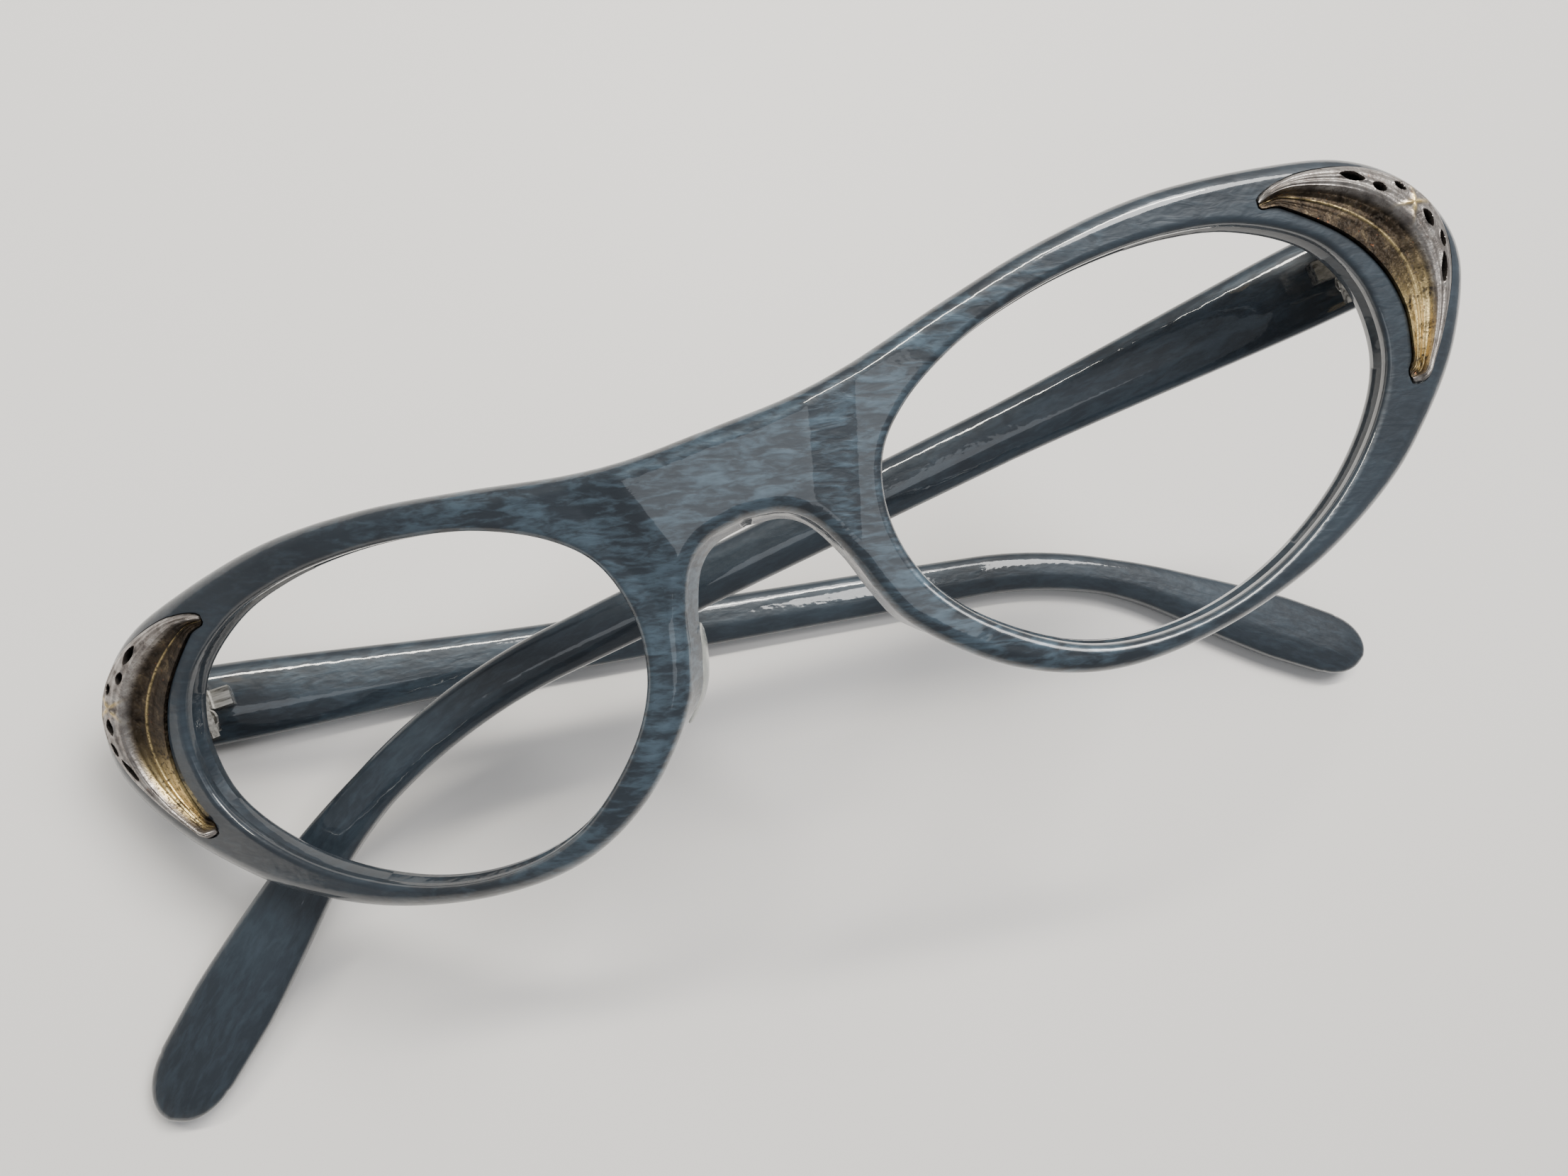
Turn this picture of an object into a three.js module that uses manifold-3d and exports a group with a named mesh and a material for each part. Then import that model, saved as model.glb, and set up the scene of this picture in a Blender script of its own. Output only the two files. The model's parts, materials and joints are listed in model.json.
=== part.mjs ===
// Cat-eye eyeglasses frame: a moulded front, two hinged temples, hinges, screws, rivets and crescent trims.
// Units are millimetres. The glasses are drawn in their own "worn" frame (x across the face, y up the face,
// z out of the front) and the worn group is then laid on the table, temples folded, front upwards.
import * as THREE from "three";
import { mergeVertices } from "three/addons/utils/BufferGeometryUtils.js";
import Module from "manifold-3d";

const wasm = await Module();
wasm.setup();

// ---- driving dimensions -------------------------------------------------------------------------
const CLEARANCE = 0.3; // between pieces that touch on the real frame
const FRONT_THICKNESS = 4.6;
const RIDGE_TOP = { x: 8.6, y: 12.8 }; // the slanted ridge lines that bound the flat bridge facet
const RIDGE_BOTTOM = { x: 5.2, y: 2.0 };
const SWEEP_SLOPE = 0.09; // how the rims fall back outside the ridge lines
const SWEEP_CURVE = 0.0026;
const OUTER_EDGE_RADIUS = 1.6;
const LENS_EDGE_RADIUS = 0.7;
const BACK_EDGE_RADIUS = 0.9;
const NOSE_DRAFT = 0.9; // the nose walls lean in towards the back
const NOSE_HALF_WIDTH = 12;
const ARCH_TOP = 8; // edge points below this height and near the middle belong to the nose arch
const GROOVE_DEPTH = 0.7;
const GROOVE_WIDTH = 1.8;
const LENS_CENTRE = { x: 34, y: -1 };

const TRIM_FLOOR = -0.5; // trim heights over the front's surface
const TRIM_RIM = 0.35;
const TRIM_RIDGE = 1.15;
const TRIM_CHANNEL = 0.15;
const TRIM_BAND = 0.4; // part of the crescent's width that is the raised outer band
const POCKET_FLOOR = TRIM_FLOOR - CLEARANCE;
const TRIM_PINS = [
  { x: 54.6, y: 14.1 },
  { x: 62.5, y: -0.6 },
];
const PIN_RADIUS = 0.6;

const HINGE = new THREE.Vector3(61.1, 7.45, -21.5);
const HINGE_LEAN = Math.atan(0.12); // the hinge pin's top leans back
const KNUCKLE_RADIUS = 1.6;
const KNUCKLE_HEIGHT = 2.0;
const SCREW_RADIUS = 0.6;
const LEAF_THICKNESS = 0.9;
const LEAF_HEIGHT = 7.6; // of the front leaf's plate
const SUNK_HEIGHT = 4.8; // of the temple leaf's plate, which is sunk in the temple
const SUNK_DEPTH = 0.6; // from the temple's inner face to that plate
const SUNK_LENGTH = 8;
const SUNK_START = 2.4; // from the hinge pin to that plate
const WEB_START = 0.6; // from the hinge pin to the web that joins that plate to its knuckle

const TEMPLE_LENGTH = 148.4;
const BEND_RADIUS = 62.3;
// Pairs of the part of the temple's length and the half height there.
const TEMPLE_HALF_HEIGHTS = [
  [0, 4.29],
  [0.245, 2.85],
  [0.49, 2.64],
  [0.734, 2.33],
  [0.91, 4.25],
  [1, 4.0],
];
// Pairs of the part of the temple's length and the thickness there.
const TEMPLE_THICKNESSES = [
  [0, 4.0],
  [0.3, 3.6],
  [0.7, 3.4],
  [1, 3.6],
];
const TEMPLE_INNER_FACE = KNUCKLE_RADIUS + CLEARANCE; // sideways from the hinge pin
const WIRE_START = 11.2; // along the temple from the hinge pin, past the sunk plate
const WIRE_LENGTH = 136;
const WIRE_RADIUS = 0.6;

// Sides are the wearer's, and +x is the wearer's left. Each temple was bent to its owner by hand, so the
// two differ a little. fold is the angle from open to the stored pose, and drop is the angle below square
// to the hinge pin.
const degrees = THREE.MathUtils.degToRad;
const SIDES = [
  { name: "left", sign: 1, fold: degrees(91.7), drop: 0.093, bendStart: 85.3, bendAngle: 0.595 },
  { name: "right", sign: -1, fold: degrees(67.7), drop: 0.171, bendStart: 90.0, bendAngle: 0.447 },
];

// How the stored glasses lie: along the right temple and on the tip of the left temple.
const LIE_TILT_X = degrees(4.648);
const LIE_TILT_Y = degrees(-21.742);

// ---- materials ----------------------------------------------------------------------------------
const acetate = new THREE.MeshStandardMaterial({ color: 0x2b3c4c, roughness: 0.25, metalness: 0 });
const padPlastic = new THREE.MeshStandardMaterial({ color: 0x8d938f, roughness: 0.3, metalness: 0 });
const silver = new THREE.MeshStandardMaterial({ color: 0xa9a49a, roughness: 0.35, metalness: 1 });
const steel = new THREE.MeshStandardMaterial({ color: 0x9a9a98, roughness: 0.35, metalness: 1 });
const brass = new THREE.MeshStandardMaterial({ color: 0xa98a4a, roughness: 0.35, metalness: 1 });

// ---- outlines of the wearer's left half, seen from the front ------------------------------------
const OUTER_POINTS = [
  [0, 13.1], [7.5, 13.2], [12.6, 13.9], [22, 16], [31, 17.7], [41, 18.4], [52.3, 17.2], [58.6, 15.8],
  [62.9, 13.6], [66, 10.7], [67.9, 7.2], [68.3, 4], [67.3, 0.6], [64.4, -4.3], [59.8, -9], [55, -12.6],
  [45.2, -16.9], [33.5, -18.9], [24, -18.1], [16.2, -14.3], [9.8, -7.8], [8.3, -4.4], [7.1, -0.5],
  [5.3, 3], [3.3, 4.5], [0, 5.1],
];
const LENS_POINTS = [
  [57.9, 0.9], [57.2, 5.2], [54.4, 9.5], [48, 13.2], [41.6, 14.6], [35, 14.8], [28.5, 14.1], [21.6, 12.3],
  [15.8, 9.2], [12.8, 6], [11.5, 1], [12.3, -4.2], [14.7, -8.4], [19.1, -12.6], [23.5, -15.3],
  [28.5, -16.7], [35.5, -16.8], [42.5, -15.1], [50.1, -11.1], [55.1, -6.4], [57.4, -2.5],
];
const TRIM_OUTER_POINTS = [
  [50.2, 14.8], [53.3, 15.6], [58.8, 14.8], [61.8, 13.5], [64.3, 11.7], [66.2, 9.2], [66.9, 6.2],
  [66.3, 3], [64.8, 0], [62.7, -3], [60.8, -4.9], [59.7, -5],
];
const TRIM_INNER_POINTS = [
  [50.2, 14.3], [52.2, 13.1], [56.4, 9.8], [58.5, 7.3], [60, 4.3], [60.6, 1.2], [60.3, -1.5], [59.6, -4.3],
];

function spline(points, count, closed = false) {
  const curve = new THREE.CatmullRomCurve3(
    points.map(([x, y]) => new THREE.Vector3(x, y, 0)),
    closed,
    "centripetal",
  );
  return curve.getSpacedPoints(count);
}

// ---- surface of the front -----------------------------------------------------------------------
function frontSurface(x, y) {
  const along = (y - RIDGE_BOTTOM.y) / (RIDGE_TOP.y - RIDGE_BOTTOM.y);
  const ridge = RIDGE_BOTTOM.x + (RIDGE_TOP.x - RIDGE_BOTTOM.x) * along;
  const outside = Math.max(Math.abs(x) - ridge, 0);
  return -SWEEP_SLOPE * outside - SWEEP_CURVE * outside * outside;
}

function edgeDistance(x, y, line, closed) {
  let best = Infinity;
  const last = closed ? line.length : line.length - 1;
  for (let i = 0; i < last; i++) {
    const a = line[i];
    const b = line[(i + 1) % line.length];
    const dx = b.x - a.x;
    const dy = b.y - a.y;
    const t = THREE.MathUtils.clamp(((x - a.x) * dx + (y - a.y) * dy) / (dx * dx + dy * dy), 0, 1);
    best = Math.min(best, Math.hypot(x - a.x - t * dx, y - a.y - t * dy));
  }
  return best;
}

function roundingDrop(distance, radius) {
  if (distance >= radius) return 0;
  const rest = radius - distance;
  return radius - Math.sqrt(Math.max(radius * radius - rest * rest, 0));
}

// ---- meshes from grids --------------------------------------------------------------------------
// rings is a list of closed rings with the same number of points. The ends are closed with fans.
function loft(rings) {
  const count = rings[0].length;
  const position = rings.flat().flatMap((p) => [p.x, p.y, p.z]);
  const index = [];
  const end = (rings.length - 1) * count;
  for (let start = 0; start < end; start += count) {
    for (let k = 0; k < count; k++) {
      const a = start + k;
      const b = start + ((k + 1) % count);
      index.push(a, b, b + count, a, b + count, a + count);
    }
  }
  for (let k = 1; k < count - 1; k++) {
    index.push(0, k + 1, k);
    index.push(end, end + k, end + k + 1);
  }
  const geometry = new THREE.BufferGeometry();
  geometry.setAttribute("position", new THREE.Float32BufferAttribute(position, 3));
  geometry.setIndex(index);
  return geometry;
}

function solidOf(geometry) {
  const plain = geometry.index ? geometry.toNonIndexed() : geometry.clone();
  for (const name of Object.keys(plain.attributes)) {
    if (name !== "position") plain.deleteAttribute(name);
  }
  const merged = mergeVertices(plain, 1e-4);
  const corners = merged.index.array;
  const kept = [];
  for (let i = 0; i < corners.length; i += 3) {
    const [a, b, c] = [corners[i], corners[i + 1], corners[i + 2]];
    if (a !== b && b !== c && c !== a) kept.push(a, b, c);
  }
  const mesh = new wasm.Mesh({
    numProp: 3,
    vertProperties: merged.attributes.position.array,
    triVerts: new Uint32Array(kept),
  });
  return new wasm.Manifold(mesh);
}

function geometryOf(solid) {
  const mesh = solid.getMesh();
  const geometry = new THREE.BufferGeometry();
  geometry.setAttribute("position", new THREE.BufferAttribute(mesh.vertProperties, mesh.numProp));
  geometry.setIndex(new THREE.BufferAttribute(mesh.triVerts, 1));
  const flat = geometry.toNonIndexed();
  flat.computeVertexNormals();
  return flat;
}

// A cylinder from one point to another.
function rod(from, to, radius, sides = 16) {
  const span = to.clone().sub(from);
  const geometry = new THREE.CylinderGeometry(radius, radius, span.length(), sides);
  geometry.applyQuaternion(
    new THREE.Quaternion().setFromUnitVectors(new THREE.Vector3(0, 1, 0), span.clone().normalize()),
  );
  const middle = from.clone().add(to).multiplyScalar(0.5);
  return solidOf(geometry.translate(middle.x, middle.y, middle.z));
}

function block(low, high) {
  const size = high.clone().sub(low);
  const middle = high.clone().add(low).multiplyScalar(0.5);
  return solidOf(new THREE.BoxGeometry(size.x, size.y, size.z).translate(middle.x, middle.y, middle.z));
}

const v = (x, y, z) => new THREE.Vector3(x, y, z);

// ---- the front ----------------------------------------------------------------------------------
const OUTER_STEPS = 64;
const BRIDGE_ROWS = [0.15, 0.6, 1.6]; // distances of the centre line's points from both edges of the bridge
const outerEdge = spline(OUTER_POINTS, OUTER_STEPS);
const lensEdge = spline(LENS_POINTS, 96, true).slice(0, -1);

// The lens opening's point on the ray from the lens centre at an angle.
function lensPoint(angle) {
  const direction = { x: Math.cos(angle), y: Math.sin(angle) };
  for (let i = 0; i < lensEdge.length; i++) {
    const a = lensEdge[i];
    const b = lensEdge[(i + 1) % lensEdge.length];
    const ax = a.x - LENS_CENTRE.x;
    const ay = a.y - LENS_CENTRE.y;
    const ex = b.x - a.x;
    const ey = b.y - a.y;
    const across = direction.x * ey - direction.y * ex;
    const reach = (ax * ey - ay * ex) / across;
    const part = (ax * direction.y - ay * direction.x) / across;
    if (reach > 0 && part >= 0 && part <= 1) {
      return v(LENS_CENTRE.x + reach * direction.x, LENS_CENTRE.y + reach * direction.y, 0);
    }
  }
  throw new Error("no lens edge at that angle");
}

// Distances across a section: rounded lens edge, plain middle, rounded outer edge.
function acrossSteps(width, innerRadius, outerRadius) {
  const scale = Math.min(1, width / (1.6 * (innerRadius + outerRadius)));
  const inner = [0, 0.3, 1].map((part) => part * innerRadius * scale);
  const outer = [1, 0.45, 0.12, 0].map((part) => width - part * outerRadius * scale);
  const from = inner.at(-1);
  const to = outer[0];
  const middle = [0.5].map((part) => from + part * (to - from));
  return [...inner, ...middle, ...outer];
}

function frontSection(outer, normal, onEdge) {
  const angle = Math.atan2(outer.y - LENS_CENTRE.y, outer.x - LENS_CENTRE.x);
  const inner = lensPoint(angle);
  const onArch = onEdge && outer.y < ARCH_TOP;
  const fade = THREE.MathUtils.smoothstep(outer.x, NOSE_HALF_WIDTH - 3, NOSE_HALF_WIDTH);
  const draft = onArch ? NOSE_DRAFT * (1 - fade) : 0;
  const backOuter = v(outer.x + normal.x * draft, outer.y + normal.y * draft, 0);
  const width = inner.distanceTo(outer);
  const backWidth = inner.distanceTo(backOuter);
  const ring = [];
  for (const step of acrossSteps(width, LENS_EDGE_RADIUS, OUTER_EDGE_RADIUS)) {
    const p = inner.clone().lerp(outer, step / width);
    const drop =
      roundingDrop(edgeDistance(p.x, p.y, outerEdge, false), OUTER_EDGE_RADIUS) +
      roundingDrop(edgeDistance(p.x, p.y, lensEdge, true), LENS_EDGE_RADIUS);
    ring.push(v(p.x, p.y, frontSurface(p.x, p.y) - drop));
  }
  for (const step of acrossSteps(backWidth, LENS_EDGE_RADIUS, BACK_EDGE_RADIUS).reverse()) {
    const p = inner.clone().lerp(backOuter, step / backWidth);
    const fromOuter = Math.max(edgeDistance(p.x, p.y, outerEdge, false), 0);
    const rise =
      roundingDrop(step > width ? 0 : fromOuter + draft, BACK_EDGE_RADIUS) +
      roundingDrop(edgeDistance(p.x, p.y, lensEdge, true), LENS_EDGE_RADIUS);
    ring.push(v(p.x, p.y, frontSurface(p.x, p.y) - FRONT_THICKNESS + rise));
  }
  const middle = frontSurface(inner.x, inner.y) - FRONT_THICKNESS / 2;
  for (const [depth, height] of [[0, -0.5], [1, 0], [0, 0.5]]) {
    const p = inner.clone().lerp(outer, (depth * GROOVE_DEPTH) / width);
    ring.push(v(p.x, p.y, middle + height * GROOVE_WIDTH));
  }
  return ring;
}

function frontSolid() {
  const rows = [];
  for (let i = 0; i <= OUTER_STEPS; i++) {
    const before = outerEdge[Math.max(i - 1, 0)];
    const after = outerEdge[Math.min(i + 1, OUTER_STEPS)];
    const length = before.distanceTo(after);
    const normal = v(-(after.y - before.y) / length, (after.x - before.x) / length, 0);
    if (i === 0 || i === OUTER_STEPS) normal.set(0, i === 0 ? 1 : -1, 0);
    rows.push({ ring: frontSection(outerEdge[i], normal, true), wall: i < OUTER_STEPS });
  }
  const arch = outerEdge[OUTER_STEPS].y;
  const top = outerEdge[0].y;
  const lower = BRIDGE_ROWS.map((distance) => arch + distance);
  const upper = BRIDGE_ROWS.map((distance) => top - distance).reverse();
  for (const y of [...lower, (arch + top) / 2, ...upper]) {
    rows.push({ ring: frontSection(v(0, y, 0), v(0, 0, 0), false), wall: false });
  }
  const count = rows[0].ring.length;
  const wallColumn = acrossSteps(1, 1, 1).length - 1;
  const position = [];
  const index = [];
  for (const sign of [1, -1]) {
    const start = position.length / 3;
    for (const { ring } of rows) {
      for (const p of ring) position.push(sign * p.x, p.y, p.z);
    }
    for (let i = 0; i < rows.length; i++) {
      const next = (i + 1) % rows.length;
      for (let k = 0; k < count; k++) {
        if (k === wallColumn && !rows[i].wall) continue;
        const a = start + i * count + k;
        const b = start + i * count + ((k + 1) % count);
        const c = start + next * count + k;
        const d = start + next * count + ((k + 1) % count);
        if (sign > 0) index.push(a, d, b, a, c, d);
        else index.push(a, b, d, a, d, c);
      }
    }
  }
  const geometry = new THREE.BufferGeometry();
  geometry.setAttribute("position", new THREE.Float32BufferAttribute(position, 3));
  geometry.setIndex(index);
  return solidOf(geometry);
}

// ---- crescent trims -----------------------------------------------------------------------------
const TRIM_STEPS = 22;
const TRIM_TIP = 0.4; // how far the crescent's blunt tips reach past the end points
const PIERCINGS = [
  { at: 0.3, length: 2.6, width: 0.9 },
  { at: 0.4, length: 1.5, width: 0.8 },
  { at: 0.5, length: 1.6, width: 0.9 },
  { at: 0.62, length: 2.6, width: 0.8 },
];

// A crescent between two edge lines. heights gives the top of the section from outer to inner edge.
function crescent(grow, floor, heights) {
  const outer = spline(TRIM_OUTER_POINTS, TRIM_STEPS);
  const inner = spline(TRIM_INNER_POINTS, TRIM_STEPS);
  const rings = [];
  for (let i = 0; i <= TRIM_STEPS; i++) {
    const across = outer[i].clone().sub(inner[i]);
    const width = across.length();
    across.normalize();
    const tip = i === 0 || i === TRIM_STEPS;
    const half = tip ? TRIM_TIP + grow : grow;
    const from = outer[i].clone().addScaledVector(across, half);
    const to = inner[i].clone().addScaledVector(across, -half);
    if (tip) {
      const neighbour = outer[i === 0 ? 1 : TRIM_STEPS - 1];
      const along = outer[i].clone().sub(neighbour).setLength(TRIM_TIP + grow);
      from.add(along);
      to.add(along);
    }
    const ring = heights.map(([part, height]) => {
      const p = from.clone().lerp(to, part);
      const squeeze = height > 0 ? THREE.MathUtils.clamp(0.35 + width / 3, 0.35, 1) : 1;
      return v(p.x, p.y, frontSurface(p.x, p.y) + height * squeeze);
    });
    ring.push(v(to.x, to.y, frontSurface(to.x, to.y) + floor));
    ring.push(v(from.x, from.y, frontSurface(from.x, from.y) + floor));
    rings.push(ring);
  }
  return solidOf(loft(rings));
}

function trimSolid() {
  const band = TRIM_BAND;
  let solid = crescent(0, TRIM_FLOOR, [
    [0, TRIM_RIM],
    [band * 0.45, TRIM_RIDGE * 0.85],
    [band, TRIM_RIDGE],
    [band + 0.1, TRIM_CHANNEL + 0.25],
    [0.75, TRIM_CHANNEL],
    [0.95, TRIM_CHANNEL + 0.3],
    [1, TRIM_CHANNEL + 0.1],
  ]);
  const outer = spline(TRIM_OUTER_POINTS, 100);
  const inner = spline(TRIM_INNER_POINTS, 100);
  for (const { at, length, width } of PIERCINGS) {
    const i = Math.round(at * 100);
    const middle = outer[i].clone().lerp(inner[i], band * 0.5);
    const along = outer[i + 2].clone().sub(outer[i - 2]);
    const leaf = new THREE.CylinderGeometry(1, 1, 8, 10).rotateX(Math.PI / 2);
    leaf.scale(length / 2, width / 2, 1).rotateZ(Math.atan2(along.y, along.x));
    leaf.translate(middle.x, middle.y, frontSurface(middle.x, middle.y));
    solid = solid.subtract(solidOf(leaf));
  }
  return solid;
}

function trimPocket() {
  return crescent(CLEARANCE, POCKET_FLOOR, [[0, 6], [1, 6]]);
}

function trimPinSolid({ x, y }) {
  const top = frontSurface(x, y) + POCKET_FLOOR;
  const back = frontSurface(x, y) - FRONT_THICKNESS - 0.3;
  const shaft = rod(v(x, y, top), v(x, y, back), PIN_RADIUS, 12);
  const head = rod(v(x, y, back - CLEARANCE), v(x, y, back - CLEARANCE - 0.4), 1.2, 12);
  const neck = rod(v(x, y, back), v(x, y, back - CLEARANCE - 0.2), PIN_RADIUS, 12);
  return shaft.add(neck).add(head);
}

// ---- hinges, drawn round the hinge pin: y along the pin, -z towards the open temple's tip --------
const KNUCKLE_PITCH = KNUCKLE_HEIGHT + CLEARANCE;
const FRONT_KNUCKLES = [KNUCKLE_PITCH, -KNUCKLE_PITCH];
const hingeToWorn = new THREE.Matrix4()
  .makeRotationX(-HINGE_LEAN)
  .setPosition(HINGE);

function knuckle(middle) {
  const half = KNUCKLE_HEIGHT / 2;
  return rod(v(0, middle - half, 0), v(0, middle + half, 0), KNUCKLE_RADIUS, 20);
}

function screwBore() {
  return rod(v(0, -8, 0), v(0, 8, 0), SCREW_RADIUS + CLEARANCE, 16);
}

function screwSolid() {
  const reach = KNUCKLE_PITCH + KNUCKLE_HEIGHT / 2;
  const shaft = rod(v(0, -reach, 0), v(0, reach + CLEARANCE + 0.2, 0), SCREW_RADIUS, 16);
  const head = rod(v(0, reach + CLEARANCE, 0), v(0, reach + CLEARANCE + 0.8, 0), 1.2, 20);
  const slot = block(v(-2, reach + CLEARANCE + 0.45, -0.15), v(2, reach + 3, 0.15));
  return shaft.add(head).subtract(slot);
}

// The front leaf's plate follows the back of the rim, between the lens opening and the temple's butt end.
const FRONT_LEAF = { inboard: HINGE.x - 3.3, outboard: HINGE.x + 1.2 };
const FRONT_RIVETS = [
  { x: HINGE.x - 2, y: HINGE.y + 2.4 },
  { x: HINGE.x - 2, y: HINGE.y - 1.9 },
];
const FRONT_RIVET_DEPTH = 2; // from the front's face to the blind end of the rivet
const FRONT_LEAF_GAP = 0.6; // behind the middle of the plate, so that its corners clear the curved back
const RISER = { inboard: -0.7, outboard: 0.9 }; // the knuckles' stems, across from the pin
const RISER_BITE = 1; // how far behind the front's back the stems end, inside the plate

function backSurface(x, y) {
  return frontSurface(x, y) - FRONT_THICKNESS;
}

// The plate's own frame: origin at the middle of its face on the front, x outboard, z into the front.
function frontLeafFrame() {
  const { inboard, outboard } = FRONT_LEAF;
  const middle = (inboard + outboard) / 2;
  const rise = backSurface(outboard, HINGE.y) - backSurface(inboard, HINGE.y);
  const tilt = Math.atan2(-rise, outboard - inboard);
  const sag = Math.min(
    0,
    (backSurface(inboard, HINGE.y) + backSurface(outboard, HINGE.y)) / 2 - backSurface(middle, HINGE.y),
  );
  const z = backSurface(middle, HINGE.y) + sag - FRONT_LEAF_GAP;
  return new THREE.Matrix4().makeRotationY(tilt).setPosition(middle, HINGE.y, z);
}

function frontLeafSolid() {
  const half = (FRONT_LEAF.outboard - FRONT_LEAF.inboard) / 2;
  let leaf = block(v(-half, -LEAF_HEIGHT / 2, -LEAF_THICKNESS), v(half, LEAF_HEIGHT / 2, 0));
  leaf = leaf.transform(frontLeafFrame().elements);
  const toWorn = hingeToWorn.elements;
  for (const middle of FRONT_KNUCKLES) {
    const bottom = middle - KNUCKLE_HEIGHT / 2;
    const top = middle + KNUCKLE_HEIGHT / 2;
    const plate = backSurface(HINGE.x, HINGE.y) - RISER_BITE - HINGE.z;
    const reach = plate + middle * Math.tan(HINGE_LEAN);
    const riser = block(v(RISER.inboard, bottom, 0), v(RISER.outboard, top, reach));
    leaf = leaf.add(riser.add(knuckle(middle)).transform(toWorn));
  }
  leaf = leaf.subtract(screwBore().transform(toWorn));
  for (const { x, y } of FRONT_RIVETS) {
    leaf = leaf.subtract(rod(v(x, y, -30), v(x, y, 0), PIN_RADIUS + CLEARANCE, 12));
  }
  return leaf;
}

function frontRivetSolid({ x, y }) {
  const back = backSurface(x, y) - 2.15;
  const shaft = rod(v(x, y, back - 0.2), v(x, y, frontSurface(x, y) - FRONT_RIVET_DEPTH), PIN_RADIUS, 12);
  const head = rod(v(x, y, back - 0.4), v(x, y, back), 1.1, 12);
  return shaft.add(head);
}

// ---- temples, drawn open in the hinge frame: x outwards, -z towards the tip ----------------------
function table(values, part) {
  for (let i = 1; i < values.length; i++) {
    const [from, low] = values[i - 1];
    const [to, high] = values[i];
    if (part <= to) {
      const t = THREE.MathUtils.smoothstep(part, from, to) * 0.5 + (0.5 * (part - from)) / (to - from);
      return low + (high - low) * t;
    }
  }
  return values.at(-1)[1];
}

// The centreline at a distance from the pin: straight, a circular bend, straight again.
function templeFrame({ drop, bendStart, bendAngle }, distance) {
  const straight = Math.min(distance, bendStart);
  const turned = THREE.MathUtils.clamp((distance - bendStart) / BEND_RADIUS, 0, bendAngle);
  const after = Math.max(distance - bendStart - BEND_RADIUS * bendAngle, 0);
  const angle = drop + turned;
  const back =
    straight * Math.cos(drop) + BEND_RADIUS * (Math.sin(angle) - Math.sin(drop)) + after * Math.cos(angle);
  const down =
    straight * Math.sin(drop) + BEND_RADIUS * (Math.cos(drop) - Math.cos(angle)) + after * Math.sin(angle);
  return { back, down, angle };
}

const TEMPLE_SIDES = 16;
const TEMPLE_STATIONS = 20;
const TIP_LENGTH = 6;
const BUTT_FORWARD = 2.2; // how far the butt end stands ahead of the pin
const BUTT_MITRE = 0.39; // slope that follows the swept-back front

function templeThickness(distance) {
  return table(TEMPLE_THICKNESSES, distance / TEMPLE_LENGTH);
}

function templeMiddle() {
  return TEMPLE_INNER_FACE + templeThickness(0) / 2;
}

// One closed ring round the temple, a flattened oval. ahead moves each of its points along the temple.
function templeRing(side, distance, halfHeight, halfThickness, ahead = () => 0) {
  const { back, down, angle } = templeFrame(side, distance);
  const ring = [];
  for (let k = 0; k < TEMPLE_SIDES; k++) {
    const turn = (2 * Math.PI * (k + 0.5)) / TEMPLE_SIDES;
    const up = halfHeight * Math.sign(Math.sin(turn)) * Math.abs(Math.sin(turn)) ** 0.7;
    const out = halfThickness * Math.sign(Math.cos(turn)) * Math.abs(Math.cos(turn)) ** 0.55;
    const forward = ahead(out, up);
    ring.push(
      v(
        templeMiddle() + out,
        -down + up * Math.cos(angle) + forward * Math.sin(angle),
        -back - up * Math.sin(angle) + forward * Math.cos(angle),
      ),
    );
  }
  return ring;
}

function templeSolid(side) {
  // The butt end is mitred so that it meets the back of the front when the temple is open.
  const upright = Math.tan(side.drop + HINGE_LEAN);
  const butt = (out, up) => BUTT_FORWARD - BUTT_MITRE * out + upright * up;
  const rings = [templeRing(side, 0, TEMPLE_HALF_HEIGHTS[0][1], templeThickness(0) / 2, butt)];
  for (let i = 1; i <= TEMPLE_STATIONS; i++) {
    const distance = (i / TEMPLE_STATIONS) * (TEMPLE_LENGTH - TIP_LENGTH);
    const half = table(TEMPLE_HALF_HEIGHTS, distance / TEMPLE_LENGTH);
    rings.push(templeRing(side, distance, half, templeThickness(distance) / 2));
  }
  for (const part of [0.4, 0.7, 0.9, 1]) {
    const distance = TEMPLE_LENGTH - TIP_LENGTH * (1 - part);
    const shrink = Math.sqrt(Math.max(1 - part * part, 0.006));
    const half = table(TEMPLE_HALF_HEIGHTS, 1) * shrink;
    rings.push(templeRing(side, distance, half, (templeThickness(distance) / 2) * Math.sqrt(shrink)));
  }
  let solid = solidOf(loft(rings.reverse()));
  solid = solid.subtract(wireTube(side, WIRE_RADIUS + CLEARANCE, WIRE_START - 1.2, WIRE_LENGTH + 1));
  return solid.subtract(sunkLeaf(side, CLEARANCE));
}

// A tube along the middle of the temple.
function wireTube(side, radius, from, to) {
  const points = [];
  for (let i = 0; i <= 14; i++) {
    const { back, down } = templeFrame(side, from + (i / 14) * (to - from));
    points.push(v(templeMiddle(), -down, -back));
  }
  const tube = new THREE.ExtrudeGeometry(new THREE.Shape().absarc(0, 0, radius, 0, 2 * Math.PI), {
    steps: points.length + 4,
    curveSegments: 4,
    bevelEnabled: false,
    extrudePath: new THREE.CatmullRomCurve3(points, false, "centripetal"),
  });
  return solidOf(tube);
}

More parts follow.
